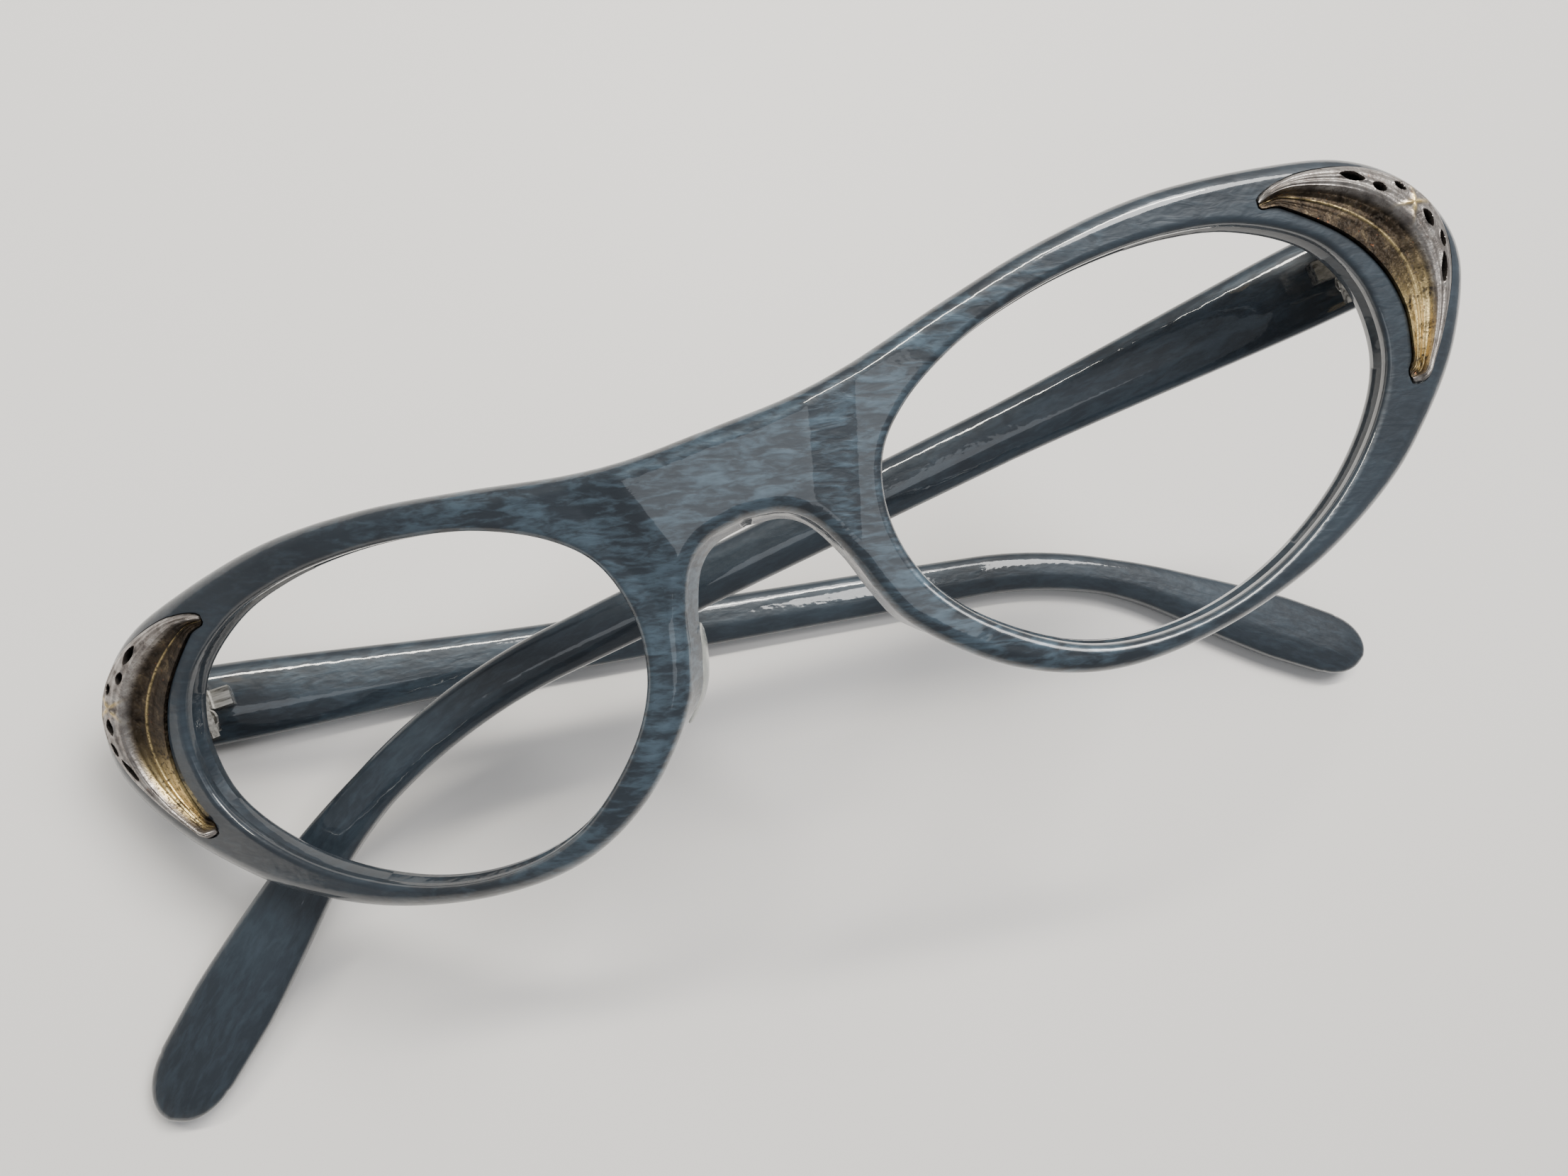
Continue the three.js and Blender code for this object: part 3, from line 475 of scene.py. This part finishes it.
def build_trim(side):
    """The colour of each point says how much it is outer band, gold and piercing."""
    outer, inner, width = crescent_edges(0, TRIM_STEPS)
    part = np.concatenate([[0, 0.006], np.linspace(0.015, 0.985, 96), [0.994, 1]])
    u = np.linspace(0, 1, TRIM_STEPS + 1)
    u_grid, w_grid = np.meshgrid(u, part, indexing="ij")
    p = outer[:, None, :] + (inner - outer)[:, None, :] * part[None, :, None]
    squeeze = np.clip(0.35 + width / 3, 0.35, 1)[:, None]
    ends = smooth(np.minimum(u_grid, 1 - u_grid), 0, 0.03)
    height = trim_profile(w_grid) * squeeze * (0.35 + 0.65 * ends)
    in_band = smooth(w_grid, 0.03, 0.06) * (1 - smooth(w_grid, TRIM_BAND - 0.02, TRIM_BAND + 0.02))
    lines = np.cos(2 * np.pi * (w_grid / TRIM_BAND * BAND_LINES + 0.15 * np.sin(2 * np.pi * u_grid * 1.5)))
    height += BAND_LINE_HEIGHT * lines * in_band * ends
    channel = smooth(w_grid, TRIM_BAND, TRIM_BAND + 0.12)
    height += RIPPLE_HEIGHT * np.cos(2 * np.pi * w_grid * RIPPLES) * channel * ends
    crest = np.exp(-(((w_grid - CREST_AT - 0.05 * np.sin(3 * u_grid)) / CREST_WIDTH) ** 2))
    height += CREST_HEIGHT * crest * ends
    length = np.concatenate([[0], np.cumsum(np.linalg.norm(np.diff(outer, axis=0), axis=1))])[:, None]
    pit, rims = pierce(length, width, u, w_grid)
    knot = tie_knot(length, width, u, w_grid)
    height += rims + KNOT_HEIGHT * knot
    surface = front_surface(p[:, :, 0], p[:, :, 1])
    z = surface + np.where(pit > 0, height * (1 - pit) + PIT_FLOOR * pit, height)
    rings = [np.concatenate([p, z[:, :, None]], axis=2)]
    for edge in (inner, outer):
        floor = front_surface(edge[:, 0], edge[:, 1]) + TRIM_FLOOR
        rings.append(np.column_stack([edge, floor])[:, None, :])
    rings = np.concatenate(rings, axis=1)
    worn_gold = np.exp(-(((u_grid - WORN_GOLD_AT) / WORN_GOLD_REACH) ** 2)) * channel + 0.8 * crest
    under = ((0, 0), (0, 2))
    band = np.pad(1 - channel, under, constant_values=0.5)
    gold = np.pad(np.clip(np.maximum(worn_gold, knot * 1.4), 0, 1), under)
    colour = np.stack([band, gold, np.pad(pit, under)], axis=2).reshape(-1, 3)
    points = rings.reshape(-1, 3) * (side["sign"], 1, 1)
    faces = ring_faces(len(rings), rings.shape[1])
    if side["sign"] < 0:
        faces = [face[::-1] for face in faces]
    name = side["name"]
    nodes = [f"trim_{name}"]
    return mesh_piece(f"trim_cast_{name}", points, faces, points, "front", nodes, colour)


# ---- temples ----------------------------------------------------------------------------------
def table(values, part):
    for (start, low), (end, high) in zip(values[:-1], values[1:]):
        if part <= end:
            t = (part - start) / (end - start)
            return low + (high - low) * 0.5 * (t * t * (3 - 2 * t) + t)
    return values[-1][1]


def temple_line(side, distance):
    """Distance back, distance down and slope of the temple's centreline."""
    drop, start = side["drop"], side["start"]
    straight = min(distance, start)
    turned = min(max((distance - start) / BEND_RADIUS, 0), side["bend"])
    after = max(distance - start - BEND_RADIUS * side["bend"], 0)
    angle = drop + turned
    arc_back = BEND_RADIUS * (math.sin(angle) - math.sin(drop))
    arc_down = BEND_RADIUS * (math.cos(drop) - math.cos(angle))
    back = straight * math.cos(drop) + arc_back + after * math.cos(angle)
    down = straight * math.sin(drop) + arc_down + after * math.sin(angle)
    return back, down, angle


def temple_section(half_height, half_thickness, count=72):
    """An oval with flattened faces. The lower third of the inner face is bevelled."""
    turn = 2 * np.pi * (np.arange(count) + 0.5) / count
    up = half_height * np.sign(np.sin(turn)) * np.abs(np.sin(turn)) ** 0.7
    out = half_thickness * np.sign(np.cos(turn)) * np.abs(np.cos(turn)) ** 0.55
    bevel = np.clip(-0.3 - up / half_height, 0, 1) * half_thickness * 0.55
    out = np.where(out < 0, out + bevel * (np.abs(out) / half_thickness), out)
    return out, up


def build_temple(side):
    stations = []
    for distance in np.linspace(0, TEMPLE_LENGTH - TIP_LENGTH, 240):
        part = distance / TEMPLE_LENGTH
        stations.append((distance, table(TEMPLE_HALF_HEIGHTS, part), table(TEMPLE_THICKNESSES, part) / 2))
    for part in np.sin(np.linspace(0, np.pi / 2, 26))[1:]:
        distance = TEMPLE_LENGTH - TIP_LENGTH * (1 - part)
        shrink = math.sqrt(max(1 - part * part, 0.004))
        half = table(TEMPLE_HALF_HEIGHTS, 1) * shrink
        thickness = table(TEMPLE_THICKNESSES, distance / TEMPLE_LENGTH) / 2 * math.sqrt(shrink)
        stations.append((distance, half, thickness))
    upright = math.tan(side["drop"] + HINGE_LEAN)
    rings, grain = [], []
    for index, (distance, half, thickness) in enumerate(stations):
        back, down, angle = temple_line(side, distance)
        out, up = temple_section(half, thickness)
        ease = max(1 - distance / 5, 0)
        forward = (BUTT_FORWARD - BUTT_MITRE * out + upright * up) * ease
        y = -down + up * math.cos(angle) + forward * math.sin(angle)
        z = -back - up * math.sin(angle) + forward * math.cos(angle)
        rings.append(np.column_stack([TEMPLE_MIDDLE + out, y, z]))
        grain.append(np.column_stack([np.full(len(out), distance + 40), up, out]))
    count = len(rings[0])
    local = np.vstack(rings) * (side["sign"], 1, 1)
    points = to_worn(side, local)
    faces = ring_faces(len(rings), count)
    if side["sign"] > 0:
        faces = [face[::-1] for face in faces]
    name = side["name"]
    body = f"temple_{name}"
    return mesh_piece(f"temple_acetate_{name}", points, faces, np.vstack(grain), body, [body])


def to_worn(side, local):
    """From the open temple's hinge frame to the folded place in the worn frame."""
    turn = Matrix.Rotation(-HINGE_LEAN, 3, "X") @ Matrix.Rotation(side["sign"] * side["fold"], 3, "Y")
    return local @ np.array(turn).T + np.array((side["sign"] * HINGE.x, HINGE.y, HINGE.z))


# ---- nose pads --------------------------------------------------------------------------------
PAD_HALF = (0.6, 4.6, 2.7)  # thickness, length, depth
PAD_DEPTH = -8.2
PAD_MIDDLE = -6.4  # the height on the nose wall where the pad's middle is
PAD_RINGS = 40
PAD_ROUND = 48


def build_pad(side):
    """A thin lens-shaped pad that carries the nose wall's line on behind the front."""
    edge = spline(OUTER_POINTS, OUTER_STEPS)
    wall = edge[(edge[:, 0] < NOSE_HALF_WIDTH) & (edge[:, 1] < ARCH_TOP)]
    length = np.concatenate([[0], np.cumsum(np.linalg.norm(np.diff(wall, axis=0), axis=1))])
    middle = np.interp(-PAD_MIDDLE, -wall[::-1, 1], length[::-1])
    direction = np.gradient(wall, axis=0)
    direction /= np.linalg.norm(direction, axis=1)[:, None]
    rings = []
    for lat in np.linspace(0.03, np.pi - 0.03, PAD_RINGS):
        at = middle + PAD_HALF[1] * math.cos(lat)
        centre = np.array([np.interp(at, length, wall[:, k]) for k in range(2)])
        along = np.array([np.interp(at, length, direction[:, k]) for k in range(2)])
        toward = np.array((-along[1], along[0])) / np.linalg.norm(along)
        centre = centre + toward * (NOSE_DRAFT - PAD_HALF[0] + 0.1)
        lon = np.linspace(0, 2 * np.pi, PAD_ROUND, endpoint=False)
        thick = PAD_HALF[0] * math.sin(lat) * np.cos(lon)
        deep = PAD_HALF[2] * math.sin(lat) ** 0.85 * np.sin(lon)
        flat = centre + thick[:, None] * toward
        rings.append(np.column_stack([flat, PAD_DEPTH + deep]))
    points = np.vstack(rings) * (side["sign"], 1, 1)
    faces = ring_faces(len(rings), PAD_ROUND)
    name = side["name"]
    piece = mesh_piece(
        f"nose_pad_clear_{name}", points, faces, points, "front", [f"nose_pad_{name}"]
    )
    weld(piece)
    finish_shading(piece, PIECE_SHARP)
    return piece


# ---- materials --------------------------------------------------------------------------------
class Nodes:
    """A small helper that adds and links shader nodes."""

    def __init__(self, name):
        self.material = bpy.data.materials.new(name)
        self.material.use_nodes = True
        self.tree = self.material.node_tree
        self.tree.nodes.clear()
        self.shader = self.tree.nodes.new("ShaderNodeBsdfPrincipled")
        output = self.tree.nodes.new("ShaderNodeOutputMaterial")
        self.tree.links.new(self.shader.outputs[0], output.inputs[0])

    def add(self, kind, settings=None, **inputs):
        node = self.tree.nodes.new(kind)
        for key, value in (settings or {}).items():
            setattr(node, key, value)
        for key, value in inputs.items():
            self.set(node, key.replace("_", " "), value)
        return node

    def set(self, node, key, value):
        socket = node.inputs[int(key)] if key.isdigit() else node.inputs[key]
        if isinstance(value, bpy.types.NodeSocket):
            self.tree.links.new(value, socket)
        else:
            socket.default_value = value

    def attribute(self, name):
        return self.add("ShaderNodeAttribute", {"attribute_name": name})

    def noise(self, vector, scale, detail=3.0, roughness=0.55, distortion=0.0):
        return self.add(
            "ShaderNodeTexNoise", Vector=vector, Scale=scale, Detail=detail, Roughness=roughness,
            Distortion=distortion,
        ).outputs["Fac"]

    def stretch(self, vector, scale):
        return self.add("ShaderNodeMapping", Vector=vector, Scale=scale).outputs[0]

    def ramp(self, factor, stops):
        node = self.add("ShaderNodeValToRGB", Fac=factor)
        band = node.color_ramp
        band.elements[0].position, band.elements[0].color = stops[0][0], (*stops[0][1], 1)
        band.elements[1].position, band.elements[1].color = stops[-1][0], (*stops[-1][1], 1)
        for place, colour in stops[1:-1]:
            band.elements.new(place).color = (*colour, 1)
        return node.outputs[0]

    def mix(self, factor, a, b, blend="MIX"):
        node = self.add("ShaderNodeMix", {"data_type": "RGBA", "blend_type": blend, "clamp_factor": True})
        for index, value in ((0, factor), (6, a), (7, b)):
            if isinstance(value, bpy.types.NodeSocket):
                self.tree.links.new(value, node.inputs[index])
            else:
                node.inputs[index].default_value = value if index == 0 else (*value, 1)
        return node.outputs[2]

    def math(self, operation, a, b=0.0, clamp=False):
        node = self.add("ShaderNodeMath", {"operation": operation, "use_clamp": clamp})
        self.set(node, "0", a)
        self.set(node, "1", b)
        return node.outputs[0]

    def span(self, value, low, high, to_low=0.0, to_high=1.0):
        node = self.add("ShaderNodeMapRange", {"clamp": True, "interpolation_type": "SMOOTHSTEP"})
        for index, item in enumerate((value, low, high, to_low, to_high)):
            self.set(node, str(index), item)
        return node.outputs[0]

    def bump(self, height, strength, distance):
        return self.add("ShaderNodeBump", Height=height, Strength=strength, Distance=distance).outputs[0]


def acetate(name, streak_reach, streak_turn, strength):
    """Mottled pearl plastic. Light wavy streaks run along the grain's x, turned by streak_turn.

    streak_reach is where they start and stop fading along x, and the part of them that is left.
    """
    n = Nodes(name)
    grain = n.attribute("grain").outputs["Vector"]
    parts = n.add("ShaderNodeSeparateXYZ", Vector=grain)
    turn = n.add("ShaderNodeVectorRotate", {"rotation_type": "Z_AXIS"}, Vector=grain, Angle=streak_turn)
    turned = turn.outputs[0]
    wavy = n.noise(n.stretch(turned, (0.34, 1.15, 0.6)), 1.0, 3.0, 0.5, 0.7)
    fine = n.noise(n.stretch(turned, (0.8, 2.6, 1.4)), 1.0, 3.0, 0.6, 0.5)
    patch = n.noise(n.stretch(turned, (0.1, 0.22, 0.15)), 1.0, 2.0, 0.5, 0.4)
    cloud = n.noise(n.stretch(grain, (0.05, 0.09, 0.08)), 1.0, 2.0, 0.5, 0.4)
    streak = n.math("ADD", n.math("MULTIPLY", wavy, 0.66), n.math("MULTIPLY", fine, 0.34))
    streak = n.math("ADD", streak, n.math("MULTIPLY", n.math("SUBTRACT", patch, 0.5), 0.35))
    streak = n.span(streak, 0.4, 0.7)
    reach = n.math("ABSOLUTE", parts.outputs[0])
    near = n.span(reach, streak_reach[0], streak_reach[1], 1.0, streak_reach[2])
    amount = n.math("MULTIPLY", n.math("MULTIPLY", streak, near), strength)
    dark = [(0.3, (0.006, 0.010, 0.016)), (0.55, (0.011, 0.018, 0.027)), (0.75, (0.02, 0.031, 0.044))]
    base = n.ramp(cloud, dark)
    colour = n.mix(amount, base, (0.07, 0.106, 0.14))
    n.set(n.shader, "Base Color", colour)
    n.set(n.shader, "Metallic", n.span(amount, 0.0, 1.0, 0.25, 0.5))
    n.set(n.shader, "Roughness", n.math("SUBTRACT", 0.5, n.math("MULTIPLY", amount, 0.1)))
    n.set(n.shader, "Coat Weight", 1.0)
    n.set(n.shader, "Coat Roughness", 0.05)
    ripple = n.noise(n.stretch(grain, (0.5, 0.8, 0.8)), 1.0, 2.0, 0.5)
    n.set(n.shader, "Normal", n.bump(n.math("ADD", ripple, n.math("MULTIPLY", wavy, 0.8)), 0.2, 0.0004))
    n.set(n.shader, "Coat Normal", n.bump(ripple, 0.1, 0.0003))
    return n.material


def trim_metal():
    """Plated casting: silver outer band, bronze channel with tarnish specks and worn gold."""
    n = Nodes("trim_plating")
    grain = n.attribute("grain").outputs["Vector"]
    zones = n.add("ShaderNodeSeparateColor", Color=n.attribute("zones").outputs["Color"])
    band, gold, pit = zones.outputs[0], zones.outputs[1], zones.outputs[2]
    fine = n.noise(grain, 3.6, 5.0, 0.65)
    blotch = n.noise(grain, 0.75, 4.0, 0.6, 0.5)
    silver = n.ramp(
        blotch, [(0.3, (0.16, 0.14, 0.13)), (0.5, (0.33, 0.3, 0.28)), (0.72, (0.55, 0.52, 0.49))]
    )
    bronze = n.ramp(
        blotch, [(0.35, (0.02, 0.015, 0.011)), (0.55, (0.06, 0.044, 0.03)), (0.75, (0.17, 0.13, 0.08))]
    )
    colour = n.mix(band, bronze, silver)
    worn = n.math("MULTIPLY", gold, n.span(blotch, 0.3, 0.5))
    colour = n.mix(worn, colour, (0.83, 0.63, 0.3))
    speck = n.math("MULTIPLY", n.span(fine, 0.52, 0.62), n.span(band, 0.0, 1.0, 0.9, 0.4))
    colour = n.mix(speck, colour, (0.035, 0.026, 0.018))
    copper = n.span(n.noise(grain, 1.6, 3.0, 0.6), 0.66, 0.74)
    colour = n.mix(n.math("MULTIPLY", copper, 0.5), colour, (0.36, 0.14, 0.07))
    colour = n.mix(n.math("MULTIPLY", pit, 0.96), colour, (0.012, 0.013, 0.015))
    n.set(n.shader, "Base Color", colour)
    shiny = n.math("ADD", 0.24, n.math("MULTIPLY", fine, 0.22))
    n.set(n.shader, "Roughness", n.math("ADD", shiny, n.math("MULTIPLY", speck, 0.35)))
    n.set(n.shader, "Metallic", n.math("SUBTRACT", 0.95, n.math("MULTIPLY", speck, 0.5)))
    n.set(n.shader, "Normal", n.bump(n.math("ADD", fine, blotch), 0.35, 0.00018))
    return n.material


def pad_plastic():
    n = Nodes("pad_clear_plastic")
    grain = n.attribute("grain").outputs["Vector"]
    haze = n.noise(grain, 0.8, 3.0)
    n.set(n.shader, "Base Color", n.ramp(haze, [(0.35, (0.42, 0.44, 0.42)), (0.65, (0.62, 0.64, 0.6))]))
    n.set(n.shader, "Roughness", n.span(haze, 0.3, 0.7, 0.12, 0.24))
    n.set(n.shader, "Transmission Weight", 0.55)
    n.set(n.shader, "IOR", 1.49)
    return n.material


def drawn_metal(name, dark, light, scratch_scale):
    """Hinge plate, screw, rivet and wire metal with fine scratches and dull spots."""
    n = Nodes(name)
    place = n.add("ShaderNodeTexCoord").outputs["Object"]
    scratch = n.noise(n.stretch(place, scratch_scale), 1.0, 4.0, 0.6)
    dull = n.noise(place, 900.0, 3.0, 0.6)
    colour = n.mix(n.span(scratch, 0.35, 0.65), dark, light)
    n.set(n.shader, "Base Color", n.mix(n.span(dull, 0.6, 0.75, 0.0, 0.6), colour, (0.1, 0.09, 0.08)))
    n.set(n.shader, "Metallic", 1.0)
    n.set(n.shader, "Roughness", n.span(scratch, 0.3, 0.7, 0.25, 0.45))
    n.set(n.shader, "Normal", n.bump(scratch, 0.25, 0.00005))
    return n.material


def paint(piece, material):
    piece.data.materials.clear()
    piece.data.materials.append(material)


# ---- stage ------------------------------------------------------------------------------------
def build_floor():
    mesh = bpy.data.meshes.new("table_top")
    half = 1.2
    rows = 24
    line = np.linspace(-half, half, rows + 1)
    points = [(x, y, 0) for y in line for x in line]
    faces = []
    for j in range(rows):
        for i in range(rows):
            a = j * (rows + 1) + i
            faces.append((a, a + 1, a + rows + 2, a + rows + 1))
    mesh.from_pydata(points, [], faces)
    floor = bpy.data.objects.new("table_top", mesh)
    bpy.context.scene.collection.objects.link(floor)
    n = Nodes("pale_table")
    place = n.add("ShaderNodeTexCoord").outputs["Object"]
    shade = n.noise(place, 6.0, 2.0)
    n.set(n.shader, "Base Color", n.ramp(shade, [(0.3, (0.69, 0.67, 0.65)), (0.7, (0.73, 0.71, 0.695))]))
    n.set(n.shader, "Roughness", 0.5)
    paint(floor, n.material)


def area_light(name, at, aim, size, energy, colour, size_y=None):
    data = bpy.data.lights.new(name, "AREA")
    data.shape = "RECTANGLE"
    data.size = size
    data.size_y = size_y or size
    data.energy = energy
    data.color = colour
    lamp = bpy.data.objects.new(name, data)
    lamp.location = at
    lamp.rotation_euler = (Vector(aim) - Vector(at)).to_track_quat("-Z", "Y").to_euler()
    bpy.context.scene.collection.objects.link(lamp)


def build_lights():
    world = bpy.data.worlds.new("soft_room")
    world.use_nodes = True
    back = world.node_tree.nodes["Background"]
    back.inputs[0].default_value = (0.93, 0.96, 1.0, 1)
    back.inputs[1].default_value = 0.36
    bpy.context.scene.world = world
    area_light("top_strip", (0.1, 0.4, 0.7), (0, 0, 0.02), 0.7, 7.0, (1.0, 0.96, 0.86), 0.05)
    area_light("soft_box", (0.42, 0.3, 0.85), (0, 0, 0), 0.45, 10.0, (1.0, 0.99, 0.97))
    area_light("facet_glow", (-0.27, -0.12, 0.8), (0, 0, 0.04), 0.42, 0.8, (0.92, 0.96, 1.0))


def build_camera():
    data = bpy.data.cameras.new("camera")
    data.lens = CAMERA_LENS
    data.sensor_width = 36.0
    data.clip_start = 0.005
    camera = bpy.data.objects.new("camera", data)
    back = -CAMERA_AHEAD.normalized()
    right = CAMERA_UP.cross(back).normalized()
    up = back.cross(right)
    axes = Matrix((right, up, back)).transposed().to_4x4()
    turn = WORN.to_3x3().normalized().to_4x4()
    camera.matrix_world = Matrix.Translation(WORN @ CAMERA_AT) @ turn @ axes
    bpy.context.scene.collection.objects.link(camera)
    bpy.context.scene.camera = camera


build_camera()
build_floor()
build_lights()

front_acetate = acetate("front_pearl_acetate", (14.0, 44.0, 0.16), 0.28, 1.0)
temple_acetate = acetate("temple_pearl_acetate", (40.0, 110.0, 0.5), 0.0, 0.35)
plating = trim_metal()
pad_material = pad_plastic()
paint(build_front(), front_acetate)
for side in SIDES:
    paint(build_trim(side), plating)
    paint(build_temple(side), temple_acetate)
    paint(build_pad(side), pad_material)

hinge_metal = drawn_metal("hinge_plate_metal", (0.3, 0.29, 0.27), (0.55, 0.54, 0.51), (300.0, 2500.0, 2500.0))
pin_metal = drawn_metal("pin_wire_metal", (0.32, 0.23, 0.1), (0.6, 0.46, 0.24), (400.0, 1800.0, 1800.0))
slots = {part["node"]: part["material_slot"] for part in frame["record"]["subparts"]}
for name, node in frame["nodes"].items():
    if slots[name] in ("hinge_metal", "pin_metal"):
        paint(node, hinge_metal if slots[name] == "hinge_metal" else pin_metal)
